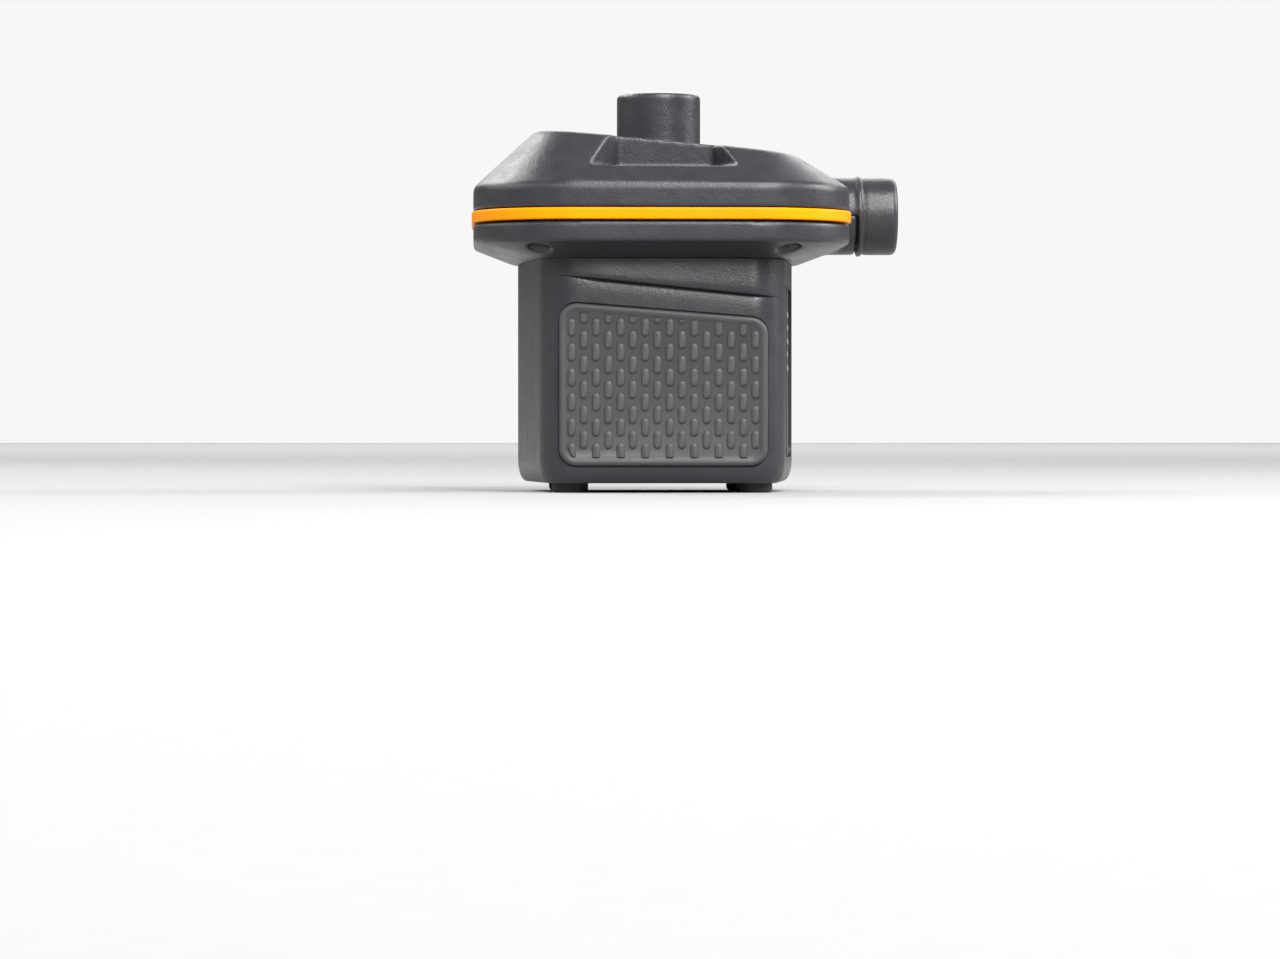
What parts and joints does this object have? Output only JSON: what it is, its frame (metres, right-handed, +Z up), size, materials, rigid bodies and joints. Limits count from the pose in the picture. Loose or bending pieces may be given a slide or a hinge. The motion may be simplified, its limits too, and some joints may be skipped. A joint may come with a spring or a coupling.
{
  "type": "electric air pump",
  "caption": "Hand-held electric air pump: a square domed blower head with a top intake port and a side outlet on a grip-padded motor body.",
  "frame": {"origin": "centre of the bounding box in plan, on the plane that the feet stand on", "axes": "+X towards the side outlet, -Y is the front with the grip pad, +Z up through the top port"},
  "size_m": [0.1028, 0.0848, 0.0941],
  "materials": {
    "shell": "charcoal grey ABS with a fine spark-eroded grain and a satin sheen",
    "trim": "glossy yellow-orange plastic",
    "black_plastic": "plain black moulded plastic",
    "black_rubber": "matt black rubber",
    "grip_rubber": "matt charcoal rubber with raised lozenges",
    "label": "charcoal printed film, blank",
    "screw_steel": "black zinc plated steel",
    "impeller": "dark glass-filled nylon",
    "brass": "turned brass",
    "steel": "drawn and ground steel",
    "lamination": "stacked dark steel laminations",
    "copper": "enamelled copper",
    "magnet": "sintered ferrite",
    "carbon": "pressed carbon",
    "ceramic": "dipped ceramic disc",
    "switch_black": "gloss black nylon",
    "red_lead": "red insulation",
    "black_lead": "black insulation"
  },
  "bodies": {
    "housing": {"upper_housing": "shell", "lower_housing": "shell", "trim_band": "trim", "volute_cover": "black_plastic", "body_shell": "shell", "base_cover": "shell", "rubber_feet": "black_rubber", "grip_pad": "grip_rubber", "label_plate": "label", "housing_screws": "screw_steel", "deck_screws": "screw_steel", "base_screws": "screw_steel", "motor_can": "steel", "motor_end_bell": "black_plastic", "motor_magnets": "magnet", "motor_bushings": "brass", "motor_brushes": "carbon", "motor_terminals": "brass", "motor_screws": "screw_steel", "motor_cushion": "black_rubber", "capacitor": "ceramic", "switch_body": "switch_black", "switch_terminals": "brass", "inlet_socket": "switch_black", "inlet_contacts": "steel", "inlet_nut": "steel", "lead_inlet_to_switch": "red_lead", "lead_switch_to_motor": "red_lead", "lead_inlet_to_motor": "black_lead"},
    "rotor": {"motor_shaft": "steel", "impeller": "impeller", "impeller_insert": "brass", "motor_armature": "lamination", "motor_windings": "copper", "motor_commutator": "copper"},
    "rocker": {"switch_rocker": "switch_black"}
  },
  "joints": [
    {"name": "rotor_spin", "type": "hinge", "parent": "housing", "child": "rotor", "pos_m": [-0.00705, 0, 0.058], "axis": [0, 0, 1], "continuous": true},
    {"name": "rocker_tilt", "type": "hinge", "parent": "housing", "child": "rocker", "pos_m": [-0.02005, 0.0299, 0.0292], "axis": [1, 0, 0], "range_deg": [0, 20]}
  ]
}
